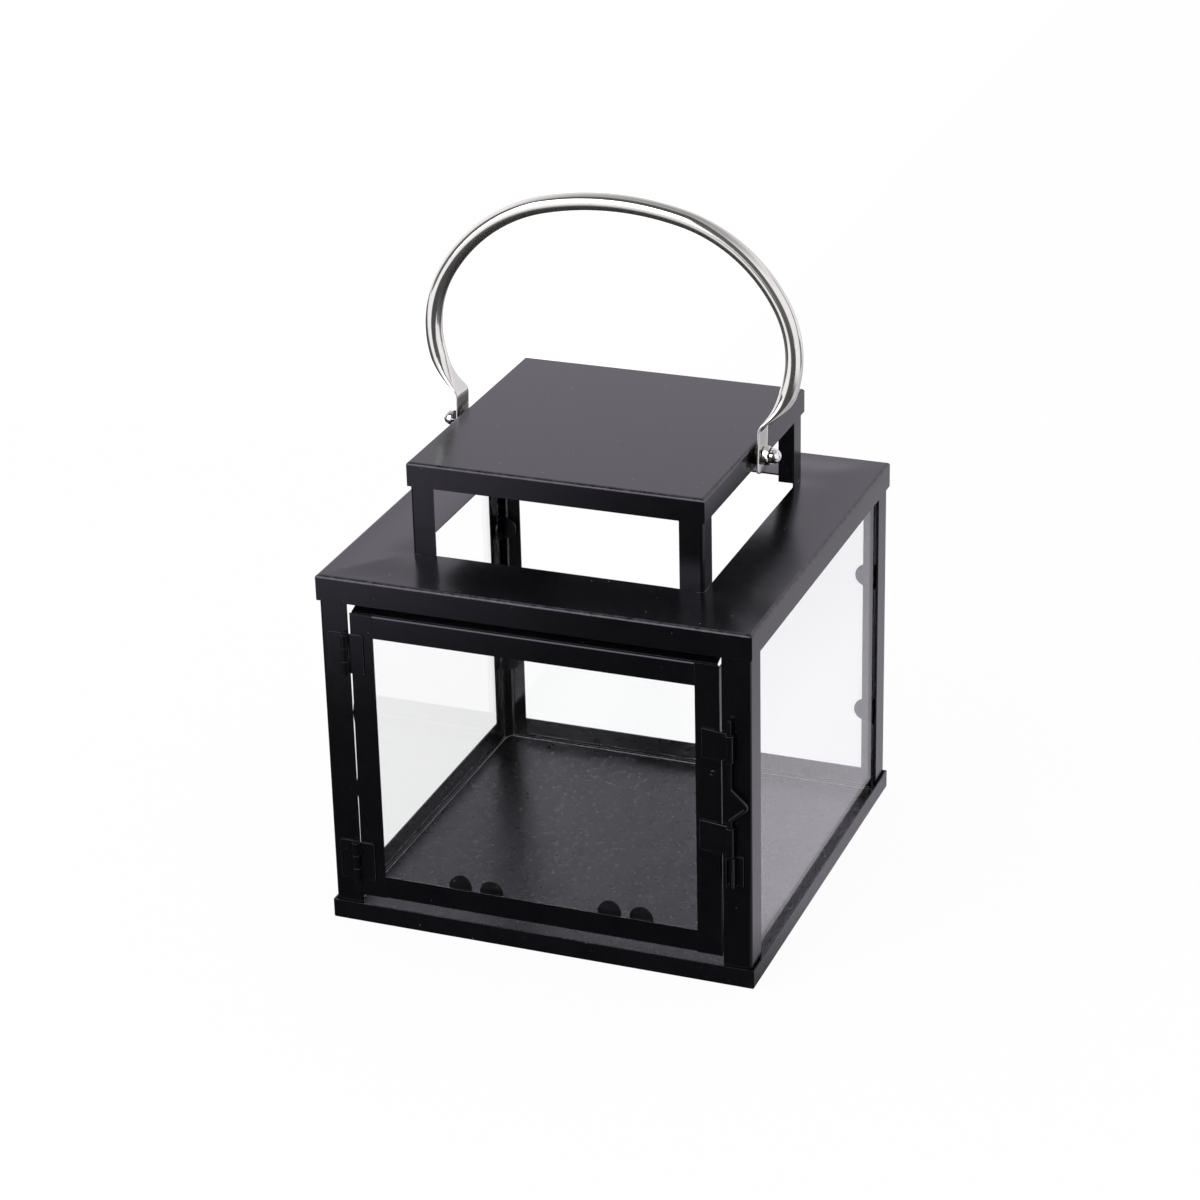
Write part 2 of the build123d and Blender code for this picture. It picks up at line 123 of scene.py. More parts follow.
def relief(tree, shader, height, strength, distance):
    """Bump at a shader's normal."""
    bump = placed(tree, "ShaderNodeBump", Strength=strength, Distance=distance, Height=height)
    tree.links.new(bump.outputs["Normal"], shader.inputs["Normal"])


def make_dust_group():
    """Loose specks and a thin film, thickest on what faces up. Out: where the dust lies.

    Spacing is the distance between specks in millimetres, Speck the radius of the largest as a
    share of it, On top and On sides how thick it all lies there, and Film the film's strength."""
    few_large = 2.5    # the higher, the fewer specks come near the largest size
    speck_edge = 25.0  # the higher, the harder the rim of a speck
    tree, numbers, results = new_group("Shader", "settled_dust", (
        ("Spacing", 4.0), ("Speck", 0.16), ("On top", 1.0), ("On sides", 0.3), ("Film", 0.1)),
        ("Dust",))
    place = millimetres(tree)
    cells = placed(tree, "ShaderNodeTexVoronoi", Vector=place,
                   Scale=maths(tree, "DIVIDE", 1.0, numbers["Spacing"]))
    chance = placed(tree, "ShaderNodeSeparateColor", Color=cells.outputs["Color"])
    luck = maths(tree, "POWER", chance.outputs["Red"], few_large)
    radius = product(tree, luck, numbers["Speck"])
    inside = maths(tree, "SUBTRACT", radius, cells.outputs["Distance"])
    speck = maths(tree, "MULTIPLY", inside, speck_edge, clamp=True)
    facing = tree.nodes.new("ShaderNodeNewGeometry")
    up = placed(tree, "ShaderNodeSeparateXYZ", Vector=facing.outputs["Normal"])
    amount = spread(tree, up.outputs["Z"], 0.2, 0.95, numbers["On sides"], numbers["On top"])
    cloud = spread(tree, noise(tree, place, 0.035, 4.0), 0.42, 0.7)
    powder = spread(tree, noise(tree, place, 2.2, 2.0, 0.7), 0.5, 0.78)
    film = product(tree, cloud, powder, numbers["Film"])
    both = maths(tree, "ADD", speck, film, clamp=True)
    fill(tree, results, Dust=maths(tree, "MULTIPLY", both, amount, clamp=True))
    return tree


def make_edge_group():
    """Rounded sheet edges made lighter: partly rubbed paint, partly painted highlight. Out: where.
    """
    tree, numbers, results = new_group(
        "Shader", "rubbed_edge", (("Breaks", 0.45), ("Rub", 0.5)), ("Rubbed",))
    edge = tree.nodes.new("ShaderNodeAttribute")
    edge.attribute_name = "rubbed"
    patches = noise(tree, millimetres(tree), 0.3, 5.0, 0.7)
    patchy = spread(tree, patches, numbers["Breaks"], 0.72)
    fill(tree, results, Rubbed=product(tree, edge.outputs["Fac"], patchy, numbers["Rub"]))
    return tree


def make_skin_group():
    """The sprayed skin itself. Out: its height, its tone and how matt it is, each about 0 to 1."""
    tree, _, results = new_group("Shader", "sprayed_skin", (), ("Height", "Tone", "Matt"))
    wave_height = 12.0  # long waves of the sheet, against an orange peel of height 1
    place = millimetres(tree)
    peel = noise(tree, place, 0.9, 3.0, 0.6)
    waves = noise(tree, place, 0.03, 1.0, 0.4)
    fill(tree, results, Height=maths(tree, "ADD", peel, product(tree, waves, wave_height)),
         Tone=spread(tree, noise(tree, place, 0.06, 5.0, 0.6, 0.6), 0.3, 0.72),
         Matt=spread(tree, noise(tree, place, 0.25, 6.0, 0.68), 0.3, 0.75))
    return tree


dust_group = make_dust_group()
edge_group = make_edge_group()
skin_group = make_skin_group()


def place_group(tree, group, **values):
    """Node of a shader group with these inputs."""
    node = tree.nodes.new("ShaderNodeGroup")
    node.node_tree = group
    return fill(tree, node, **values)


def blend_colour(tree, amount, under, over):
    """Mix of two colours; each is a triple or a socket."""
    node = tree.nodes.new("ShaderNodeMix")
    node.data_type = "RGBA"
    tree.links.new(amount, node.inputs["Factor"])
    for label, value in (("A", under), ("B", over)):
        socket = [s for s in node.inputs if s.name == label and s.type == "RGBA"][0]
        if isinstance(value, tuple):
            socket.default_value = (*value, 1)
        else:
            tree.links.new(value, socket)
    return [s for s in node.outputs if s.type == "RGBA"][0]


def new_material(name):
    """New material, its nodes and its shader."""
    material = bpy.data.materials.new(name)
    material.use_nodes = True
    return material, material.node_tree, material.node_tree.nodes["Principled BSDF"]


def black_paint(name, matt, edge_lighten=0.5, breaks=0.45, pale=0.3, bump=0.04, **dust):
    """Satin black stoving paint on folded steel.

    matt is its least and greatest roughness, edge_lighten how light its edges are made (partly
    rubbed paint, partly painted highlight), breaks how much of them stays whole, pale how light
    its dust is and bump how strongly its skin shows; the other names are the dust's own."""
    black, faded = (0.0014, 0.0013, 0.0015), (0.0026, 0.0025, 0.0028)
    lighter_edge = (0.1, 0.097, 0.1)
    grey = (pale, 0.97 * pale, 0.93 * pale)
    material, tree, shader = new_material(name)
    skin = place_group(tree, skin_group)
    edge = place_group(tree, edge_group, Rub=edge_lighten, Breaks=breaks)
    lying = place_group(tree, dust_group, **dust)
    colour = blend_colour(tree, skin.outputs["Tone"], black, faded)
    # lighter edges: partly rubbed paint, partly a painted highlight along the folds
    colour = blend_colour(tree, edge.outputs["Rubbed"], colour, lighter_edge)
    colour = blend_colour(tree, lying.outputs["Dust"], colour, grey)
    tree.links.new(colour, shader.inputs["Base Color"])
    gloss = spread(tree, skin.outputs["Matt"], 0, 1, *matt)
    dull = product(tree, lying.outputs["Dust"], 0.5)
    tree.links.new(maths(tree, "ADD", gloss, dull, clamp=True), shader.inputs["Roughness"])
    relief(tree, shader, skin.outputs["Height"], bump, 0.00006)
    shader.inputs["IOR"].default_value = 1.42
    shader.inputs["Specular Tint"].default_value = (0.86, 0.84, 1.0, 1)
    return material


def finish_node(name, material):
    """Give a carried-over node its finish."""
    mesh = nodes[name].data
    mesh.materials.clear()
    mesh.materials.append(material)


def new_piece(name, data, material, body, slot, *stands_for):
    """Object of a finished mesh, riding on its body and standing for its nodes."""
    piece = bpy.data.objects.new(name, data)
    bpy.context.scene.collection.objects.link(piece)
    data.materials.clear()
    data.materials.append(material)
    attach(piece, body)
    if stands_for:
        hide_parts(*stands_for)


def applied(data, modifier, settings, inputs=()):
    """Mesh that a modifier of this kind makes of a mesh."""
    carrier = bpy.data.objects.new("carrier", data)
    bpy.context.scene.collection.objects.link(carrier)
    maker = carrier.modifiers.new("maker", modifier)
    for label, value in settings:
        setattr(maker, label, value)
    for label, value in inputs:
        maker[label] = value
    scene_now = bpy.context.evaluated_depsgraph_get()
    plain = bpy.data.meshes.new_from_object(carrier.evaluated_get(scene_now))
    bpy.data.objects.remove(carrier)
    return plain


def shaded(shape, name, corner):
    """Mesh of a shape, shaded smooth but for corners of that many degrees or more."""
    for f in shape.faces:
        f.smooth = True
    for e in shape.edges:
        e.smooth = len(e.link_faces) == 2 and e.calc_face_angle() < radians(corner)
    data = bpy.data.meshes.new(name)
    shape.to_mesh(data)
    shape.free()
    return data


def sheet_shape(node, edge_round=0.00014, form=None, grid=None, axes=(0, 1), folds=0.0):
    """Copy of a node with its cut edges rounded as the paint rounds them.

    grid is the spacing of extra cuts across its axes, form moves its points one by one, and
    folds is how much lighter the bends are made, partly rubbed paint and partly painted highlight."""
    shape = bmesh.new()
    shape.from_mesh(nodes[node].data)
    bmesh.ops.remove_doubles(shape, verts=shape.verts, dist=2e-6)
    bmesh.ops.dissolve_limit(shape, angle_limit=radians(0.6), verts=shape.verts,
                             edges=shape.edges)
    sharp = [e for e in shape.edges if len(e.link_faces) == 2
             and e.calc_face_angle() > radians(35)]
    rubbed = shape.verts.layers.float.new("rubbed")
    shape.normal_update()
    made = bmesh.ops.bevel(shape, geom=sharp, offset=edge_round, offset_type="OFFSET",
                           segments=2, profile=0.5, affect="EDGES", clamp_overlap=True)
    fresh = set(made["faces"])
    for v in shape.verts:
        if v.link_faces and all(f in fresh for f in v.link_faces):
            v[rubbed] = 1.0
        elif all(max(abs(share) for share in f.normal) < 0.995 for f in v.link_faces):
            v[rubbed] = folds
    if grid:
        low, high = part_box(node)
        for axis in axes:
            step = low[axis] + grid / 2
            while step < high[axis]:
                place, side = Vector((0, 0, 0)), Vector((0, 0, 0))
                place[axis], side[axis] = step, 1
                bmesh.ops.bisect_plane(shape, geom=shape.verts[:] + shape.edges[:]
                                       + shape.faces[:], plane_co=place, plane_no=side)
                step += grid
    if form:
        for v in shape.verts:
            v.co = form(v.co)
    # normals set by the large faces, so that flats stay flat
    return applied(shaded(shape, node + "_painted", 50), "WEIGHTED_NORMAL",
                   (("keep_sharp", True), ("weight", 100)))


def paint_sheet(node, material, body="lantern_body", **shape):
    """Painted copy of a sheet node."""
    new_piece(node + "_painted", sheet_shape(node, **shape), material, body, "black_paint", node)


tray_paint = black_paint("tray_paint", (0.25, 0.34), pale=0.6, bump=0.015,
                         Spacing=3.2, Speck=0.11, On_top=0.9, On_sides=1.0, Film=0.01)
paint_sheet("base_tray", tray_paint)


# ---- Corner posts: four angle strips ----
# Strips of the same sheet steel folded to an L and painted black. They stand inside the tray's
# flanges, are welded there, and carry the hood.

post_paint = black_paint("post_paint", (0.15, 0.24),
                         Spacing=4.0, Speck=0.09, On_top=1.0, On_sides=0.12, Film=0.02)
corners = ("front_left", "front_right", "back_left", "back_right")
for corner in corners:
    paint_sheet(f"corner_post_{corner}", post_paint)


# ---- Hood, chimney posts and cap ----
# The roof is a sheet of the same steel with its edges folded down and a square hole. Four short
# angle posts, welded at their feet, carry the cap over the hole, and the smoke leaves between them.

roof_paint = black_paint("roof_paint", (0.17, 0.23), edge_lighten=0.8, breaks=0.35,
                         Spacing=3.6, Speck=0.09, On_top=1.0, On_sides=0.3, Film=0.02)
hood_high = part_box("hood")[1]
# half the width across the chimney posts
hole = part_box("chimney_post_back_right")[1].x
crown = 0.0014      # how far the sheet rises from its folds to the hole
crown_foot = 0.004  # how far under the top the hood's points begin to follow it
crown_ramp = 0.003  # height over which they come to follow it fully
weld_draw = 0.35    # share of the rise that the welds take back
draw_reach = 0.009  # how far from a weld the sheet is drawn in
fold_room = 0.002   # the folds stay straight this far in from the side


def held(value):
    """The value, kept from 0 to 1."""
    return min(1.0, max(0.0, value))


def bell(far):
    """1 in the middle of a hump, falling away towards 0."""
    return 2.718 ** (-far)


def crowned(point):
    """The hood rises a little to its hole, and is drawn in where the posts are welded."""
    far = max(abs(point.x), abs(point.y))
    rise = held((hood_high.x - fold_room - far) / (hood_high.x - fold_room - hole))
    rise = rise * rise * (3 - 2 * rise)
    welded = (abs(point.x) - hole) ** 2 + (abs(point.y) - hole) ** 2
    dent = weld_draw * bell(welded / draw_reach ** 2)
    top = held((point.z - (hood_high.z - crown_foot)) / crown_ramp)
    return point + Vector((0, 0, crown * top * (rise - dent)))


paint_sheet("hood", roof_paint, form=crowned, grid=0.004, folds=0.6)
paint_sheet("cap", roof_paint, folds=0.5)
for corner in corners:
    paint_sheet(f"chimney_post_{corner}", roof_paint)


def vectors(tree, operation, first, second):
    """Vector Math node."""
    return maths(tree, operation, first, second, kind="ShaderNodeVectorMath")


def coated(tree, shape, paint):
    """The shape with a material on it."""
    return placed(tree, "GeometryNodeSetMaterial", Geometry=shape,
                  Material=paint).outputs["Geometry"]


def bead_tree():
    """Weld bead that follows a chain of edges and swells and wanders as a hand-laid one does."""
    tree, given, result = new_group("Geometry", "weld_bead", (
        ("Path", "Geometry"), ("Bead radius", 0.0005), ("Step", 0.0006), ("Wander", 0.0002),
        ("Seed", 1.0), ("Paint", "Material")), ("Bead",), "Geometry")
    lumps_to_metre = 900.0
    curve = placed(tree, "GeometryNodeMeshToCurve", Mesh=given["Path"])
    even = tree.nodes.new("GeometryNodeResampleCurve")
    even.mode = "LENGTH"
    fill(tree, even, Curve=curve.outputs["Curve"], Length=given["Step"])
    lumps = tree.nodes.new("ShaderNodeTexNoise")
    lumps.noise_dimensions = "4D"
    fill(tree, lumps, Scale=lumps_to_metre, W=given["Seed"],
         Vector=tree.nodes.new("GeometryNodeInputPosition").outputs["Position"])
    centred = vectors(tree, "SUBTRACT", lumps.outputs["Color"], (0.5, 0.5, 0.5))
    moved = placed(tree, "GeometryNodeSetPosition", Geometry=even.outputs["Curve"],
                   Offset=vectors(tree, "MULTIPLY", centred, given["Wander"]))
    swell = placed(tree, "GeometryNodeSetCurveRadius", Curve=moved.outputs["Geometry"],
                   Radius=spread(tree, lumps.outputs["Fac"], 0.3, 0.7, 0.65, 1.25))
    section = placed(tree, "GeometryNodeCurvePrimitiveCircle", Resolution=10,
                     Radius=given["Bead radius"])
    skin = placed(tree, "GeometryNodeCurveToMesh", Fill_Caps=True, Curve=swell.outputs["Curve"],
                  Profile_Curve=section.outputs["Curve"])
    smooth = placed(tree, "GeometryNodeSetShadeSmooth", Geometry=skin.outputs["Mesh"])
    fill(tree, result, Bead=coated(tree, smooth.outputs["Geometry"], given["Paint"]))
    return tree


def grown(tree, start, **values):
    """Mesh that a geometry tree makes of a start mesh with these named values."""
    sockets = {socket.name.replace(" ", "_"): socket.identifier
               for socket in tree.interface.items_tree if socket.in_out == "INPUT"}
    return applied(start, "NODES", (("node_group", tree),),
                   [(sockets[label], value) for label, value in values.items()])


weld_bead = bead_tree()
bead_short = 0.0004  # how far a bead stops before the end of a post's leg
bead_turn = 0.0008   # how far from the post's fold it turns the corner
bead_sunk = 0.0001   # how deep its middle lies in the sheet
feet, chains = [], []
for corner, (side_x, side_y) in zip(corners, ((-1, -1), (1, -1), (-1, 1), (1, 1))):
    low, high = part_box(f"chimney_post_{corner}")
    leg = high.x - low.x
    foot = crowned(Vector((side_x * hole, side_y * hole, hood_high.z))).z - bead_sunk
    start = len(feet)
    feet += [(side_x * (hole - leg + bead_short), side_y * hole, foot),
             (side_x * (hole - bead_turn), side_y * hole, foot),
             (side_x * hole, side_y * (hole - bead_turn), foot),
             (side_x * hole, side_y * (hole - leg + bead_short), foot)]
    chains += [(start, start + 1), (start + 1, start + 2), (start + 2, start + 3)]
bead_path = bpy.data.meshes.new("bead_path")
bead_path.from_pydata(feet, chains, [])
foot_beads = grown(weld_bead, bead_path, Bead_radius=0.00042, Wander=0.00025, Seed=3.0,
                   Paint=roof_paint)
new_piece("chimney_foot_welds", foot_beads, roof_paint, "lantern_body", "black_paint")


# ---- Fixed panes and their clips ----
# Three 3 mm panes with ground edges stand in the tray behind the posts, each held by four tongues
# of painted sheet that are spot-welded to the posts.

def pane_glass(name, through, bend=1.38):
    """Clear float glass, ground along its edges; through is the axis (0 for X, 1 for Y) square
    to the pane, and bend its index of refraction."""
    material, tree, shader = new_material(name)
    facing = tree.nodes.new("ShaderNodeNewGeometry")
    split = placed(tree, "ShaderNodeSeparateXYZ", Vector=facing.outputs["Normal"])
    ground = spread(tree, maths(tree, "ABSOLUTE", split.outputs[through]), 0.98, 0.9)
    place = millimetres(tree)
    smear = spread(tree, noise(tree, place, 0.02, 4.0, 0.6, 1.0), 0.5, 0.8, 0.0, 0.03)
    grit = spread(tree, noise(tree, place, 1.5, 3.0), 0.3, 0.7, 0.35, 0.6)
    rough = maths(tree, "ADD", smear, product(tree, ground, grit))
    tree.links.new(rough, shader.inputs["Roughness"])
    tint = blend_colour(tree, ground, (0.995, 0.998, 0.997), (0.86, 0.9, 0.89))
    tree.links.new(tint, shader.inputs["Base Color"])
    relief(tree, shader, noise(tree, place, 0.012, 1.0), 0.02, 0.0002)
    shader.inputs["IOR"].default_value = bend
    shader.inputs["Transmission Weight"].default_value = 1.0
    return material


def glaze(node, glass, body="lantern_body"):
    """Pane with its arrises ground off."""
    new_piece(node + "_ground", sheet_shape(node, edge_round=0.0005), glass, body, "glass", node)


side_glass = pane_glass("side_glass", 0)
back_glass = pane_glass("back_glass", 1)
glaze("glass_left", pane_glass("left_glass", 0, 1.3))
glaze("glass_right", side_glass)
glaze("glass_back", back_glass)


def settled_lint():
    """Pale grey line, lighter where it is thicker."""
    material, tree, shader = new_material("settled_lint")
    place = millimetres(tree)
    thick = spread(tree, noise(tree, place, 0.6, 4.0), 0.35, 0.6)
    tree.links.new(blend_colour(tree, thick, (0.28, 0.28, 0.28), (0.6, 0.6, 0.62)),
                   shader.inputs["Base Color"])
    tree.links.new(spread(tree, noise(tree, place, 2.0), 0.3, 0.7, 0.5, 0.8),
                   shader.inputs["Roughness"])
    return material


# a pale grey bead along the feet of the three panes
pale_line = settled_lint()
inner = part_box("glass_right")[0].x
tray_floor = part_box("glass_back")[0].z
line_front = -0.09  # where the pale line ends at both sides, behind the door
foot_path = bpy.data.meshes.new("foot_path")
foot_path.from_pydata([(-inner, line_front, tray_floor), (-inner, inner, tray_floor),
                       (inner, inner, tray_floor), (inner, line_front, tray_floor)],
                      [(0, 1), (1, 2), (2, 3)], [])
pane_foot = grown(weld_bead, foot_path, Bead_radius=0.00022, Step=0.005, Wander=0.00004,
                  Seed=8.0, Paint=pale_line)
new_piece("pane_foot_lint", pane_foot, pale_line, "lantern_body", "glass")

clip_paint = black_paint("clip_paint", (0.3, 0.45), edge_lighten=0.8,
                         Spacing=3.0, Speck=0.14, On_top=1.0, On_sides=0.5, Film=0.1)
for side in ("left", "right", "back"):
    paint_sheet(f"glass_clips_{side}", clip_paint, edge_round=0.0001)


# ---- Door ----
# Two stiles and two rails of folded sheet steel, painted black, butt at the corners and hold one
# pane with four short tongues on each rail.

door_paint = black_paint("door_paint", (0.15, 0.24),
                         Spacing=4.0, Speck=0.09, On_top=1.0, On_sides=0.12, Film=0.02)
door_low, door_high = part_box("door_stile_hinge")
top_spring = 0.0026   # how far the back edge of the top fold stands up
spring_foot = 0.0022  # how far under the door's top it begins to
spring_ramp = 0.0012  # height over which it comes to do so fully
hinge_bow = 0.0009    # how far the hinge stile bows out at its foot
latch_bow = 0.0003    # the same for the latch stile
bow_band = 0.003      # width of a stile's outer part, which bows
bow_ramp = 0.002      # width over which it comes to do so fully
guide_push = 0.00045  # how much further the latch stile stands out under its guide
guide_foot = 0.114    # height under which it does
guide_ramp = 0.004    # height over which it comes to do so fully
hinge_most = 0.0012   # the gap beside the hinge stile takes no more than this
latch_most = 0.00072  # the gap beside the latch stile takes no more than this
paint_swell = 0.0006  # how far the paint bridges the hinge gap
paint_bridges = ((0.105, 0.003), (0.068, 0.004))  # height and half length of each bridge


def sprung(point):
    """The fold along the door's top was bent short of square, so its back edge stands high."""
    back = (point.y - door_low.y) / (door_high.y - door_low.y)
    on_top = held((point.z - door_high.z + spring_foot) / spring_ramp)
    return point + Vector((0, 0, top_spring * back * on_top))


def bowed(point):
    """The stiles bow outwards at the foot, and paint bridges the hinge gap in two places."""
    down = (door_high.z - point.z) / (door_high.z - door_low.z)
    side = -1 if point.x < 0 else 1
    outer = held((side * point.x + door_low.x + bow_band) / bow_ramp)
    if side < 0:
        swell, most = hinge_bow * down, hinge_most
        for high, tall in paint_bridges:
            swell += paint_swell * bell(((point.z - high) / tall) ** 4)
    else:
        swell = latch_bow * down + guide_push * held((guide_foot - point.z) / guide_ramp)
        most = latch_most
    return point + Vector((side * min(swell, most) * outer, 0, 0))


for part in ("door_stile_hinge", "door_stile_latch"):
    paint_sheet(part, door_paint, "door", form=bowed, grid=0.0025, axes=(2,))
paint_sheet("door_rail_bottom", door_paint, "door")
paint_sheet("door_rail_top", door_paint, "door", form=sprung)
glaze("door_glass", back_glass, "door")
rail_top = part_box("door_rail_bottom")[1].z
bent_tongues = (-0.039, 0.032)  # middles of the two that lean
tongue_half = 0.0065
tongues_high = 0.06  # the lower tongues end under this height, the upper start over it
lean_share = 0.19    # how far they lean for each length that they stand up


def leaning(point):
    """Two of the lower tongues were bent a little too far from the glass."""
    bent = min(abs(point.x - middle) for middle in bent_tongues) < tongue_half
    above = max(0.0, point.z - rail_top) if bent and point.z < tongues_high else 0.0
    return point + Vector((0, lean_share * above, 0))


paint_sheet("door_glass_clips", clip_paint, "door", edge_round=0.0001, form=leaning)


# ---- Hinges ----
# Two small butt hinges: leaves of 0.7 mm sheet rolled round a steel pin with peened heads. The
# leaves are spot-welded to door and post, and all is painted over.

hinge_paint = black_paint("hinge_paint", (0.16, 0.26), edge_lighten=1.0, breaks=0.2,
                          Spacing=2.5, Speck=0.1, On_top=1.0, On_sides=0.2, Film=0.03)
for part, body in (("door", "door"), ("post", "lantern_body")):
    for height in ("lower", "upper"):
        paint_sheet(f"hinge_leaf_{part}_{height}", hinge_paint, body, edge_round=0.0003)
for height in ("lower", "upper"):
    finish_node(f"hinge_pin_{height}", hinge_paint)


def spot_tree():
    """Spot welds under paint: a low, uneven button at each point, flat against an upright sheet."""
    tree, given, result = new_group("Geometry", "spot_weld", (
        ("Places", "Geometry"), ("Button radius", 0.0011), ("Height", 0.0002), ("Seed", "Int"),
        ("Paint", "Material")), ("Buttons",), "Geometry")
    ball = placed(tree, "GeometryNodeMeshIcoSphere", Radius=1.0, Subdivisions=3)
    size = placed(tree, "ShaderNodeCombineXYZ", X=given["Button radius"], Y=given["Height"],
                  Z=given["Button radius"])
    vary = tree.nodes.new("FunctionNodeRandomValue")
    vary.data_type = "FLOAT_VECTOR"
    fill(tree, vary, Min=(0.7, 0.7, 0.6), Max=(1.25, 1.3, 1.2), Seed=given["Seed"])
    put = placed(tree, "GeometryNodeInstanceOnPoints", Points=given["Places"],
                 Instance=ball.outputs["Mesh"],
                 Scale=vectors(tree, "MULTIPLY", size.outputs["Vector"], vary.outputs["Value"]))
    whole = placed(tree, "GeometryNodeRealizeInstances", Geometry=put.outputs["Instances"])
    smooth = placed(tree, "GeometryNodeSetShadeSmooth", Geometry=whole.outputs["Geometry"])
    fill(tree, result, Buttons=coated(tree, smooth.outputs["Geometry"], given["Paint"]))
    return tree


def put_spots(name, places, body, seed, radius, height):
    """Spot welds of one radius and height at these places, as one piece."""
    points = bpy.data.meshes.new(name)
    points.from_pydata(places, [], [])
    buttons = grown(spot_weld, points, Button_radius=radius, Height=height, Seed=seed,
                    Paint=hinge_paint)
    new_piece(name, buttons, hinge_paint, body, "black_paint")


spot_weld = spot_tree()


# ---- Latch ----
# A bent steel wire slides in two rolled guide plates on the door, and drops into a rolled keeper
# plate on the post. The plates are spot-welded on, and all is painted black.

wire_paint = black_paint("wire_paint", (0.14, 0.24),
                         Spacing=3.0, Speck=0.1, On_top=1.0, On_sides=0.4, Film=0.05)
curl_fall = 0.0013               # how much lower a guide hangs at its curl
fall_from = 0.003                # where it starts to fall, from its far edge
fall_run = 0.009                 # the length over which it falls
plate_lift = 0.0004              # how far the front of a guide's flat is swollen by weld and paint
flat_front = (-0.1003, -0.0998)  # depths between which that front lies


def rolled(node, foot_falls):
    """Plate drawn down a little towards its curl, along its top or along its foot as well."""
    low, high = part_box(node)

    def form(point):
        along = held((point.x - low.x - fall_from) / fall_run)
        front = -plate_lift if flat_front[0] < point.y < flat_front[1] else 0.0
        share = 1.0 if foot_falls else (point.z - low.z) / (high.z - low.z)
        return point + Vector((0, front, -curl_fall * along * share))
    return form


paint_sheet("latch_guide_lower", hinge_paint, "door", edge_round=0.0003,
            form=rolled("latch_guide_lower", True))
paint_sheet("latch_guide_upper", hinge_paint, "door", edge_round=0.0003,
            form=rolled("latch_guide_upper", False))
paint_sheet("latch_keeper", hinge_paint, edge_round=0.0003)
finish_node("latch_wire", wire_paint)
guide_low, guide_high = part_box("latch_guide_lower")
guide_tall = guide_high.z - guide_low.z
guide_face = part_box("door_stile_hinge")[0].y - 0.0007  # the plate is 0.7 mm thick
spot_x = guide_low.x + 0.35 * (guide_high.x - guide_low.x)
put_spots("guide_spots", [(spot_x, guide_face, guide_low.z + 0.28 * guide_tall),
                          (spot_x + 0.0004, guide_face, guide_high.z - 0.3 * guide_tall)],
          "door", 7, 0.0008, 0.00015)
stile_low, stile_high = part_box("door_stile_latch")
put_spots("stile_spot", [(stile_high.x - 0.0028, stile_low.y, 0.1035),
                         (stile_high.x - 0.0036, stile_low.y, 0.1015)],
          "door", 4, 0.0012, 0.0004)


# ---- Handle ----
# One length of polished stainless tube bent to a loop. Its ends are squeezed flat, kinked and
# drilled, and swing on screws in the cap's side flanges.

tube_r = 0.004
side_r = 0.0484
shoulder_r = 0.0725
top_turn = radians(13.6)       # turn of the flat top arc, on each side of the middle
shoulder_turn = radians(60.0)  # turn at the end of each shoulder
flatten_turn = radians(21.0)   # the last part of a side, where the tube is squeezed flat
squash_in = 0.002              # how far the flat end lies inside the tube's middle line
bulge = 0.0136                 # how far the loop swells beyond the ears
ear_wide = 0.013
ear_thick = 0.0014
ear_play = 0.00012  # between an ear and its nut
ear_rise = 0.013    # from the pivot to the bend of the ear
ear_drop = 0.0076   # from the pivot to the end of the ear
ear_corner = 0.0025
lean = radians(4.7)  # from upright, towards the back
loop_steps = 320     # rings along half of the loop
kink_steps = 16      # rings round the kink
ear_steps = 24       # rings down the ear
tube_sides = 56      # points round the tube

pivot = Vector((0, 0, (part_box("acorn_nut_left")[0].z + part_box("acorn_nut_left")[1].z) / 2))
ear_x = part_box("acorn_nut_right")[0].x - ear_play - ear_thick / 2
loop_half = ear_x + bulge
side_end = pi - asin((side_r - bulge) / (side_r - squash_in))
widest = ear_rise - (side_r - squash_in) * cos(side_end)
kink_r = 0.0055  # radius of the bend above the ear
kink_reach = kink_r * sin((side_end - pi / 2) / 2) / cos((side_end - pi / 2) / 2)
loop_end = side_end - kink_reach / (side_r - squash_in)
side_centre = Vector((loop_half - side_r, widest))
shoulder_centre = side_centre + (side_r - shoulder_r) * Vector((sin(shoulder_turn),
                                                                cos(shoulder_turn)))
top_r = shoulder_r + shoulder_centre.x / sin(top_turn)
top_centre = Vector((0, shoulder_centre.y - (top_r - shoulder_r) * cos(top_turn)))


def loop_ring(turn):
    """The tube where it has turned that far from the top: its middle, its heading, its two half
    sizes and how far it is squeezed flat."""
    if turn <= top_turn:
        centre, radius = top_centre, top_r
    elif turn <= shoulder_turn:
        centre, radius = shoulder_centre, shoulder_r
    else:
        centre, radius = side_centre, side_r
    way = held((turn - (loop_end - flatten_turn)) / flatten_turn)
    radius -= squash_in * way ** 2
    middle = centre + radius * Vector((sin(turn), cos(turn)))
    thick = tube_r + (ear_thick / 2 - tube_r) * way ** 1.3
    wide = tube_r + (ear_wide / 2 - tube_r) * way ** 1.6
    return middle, Vector((cos(turn), -sin(turn))), wide, thick, way


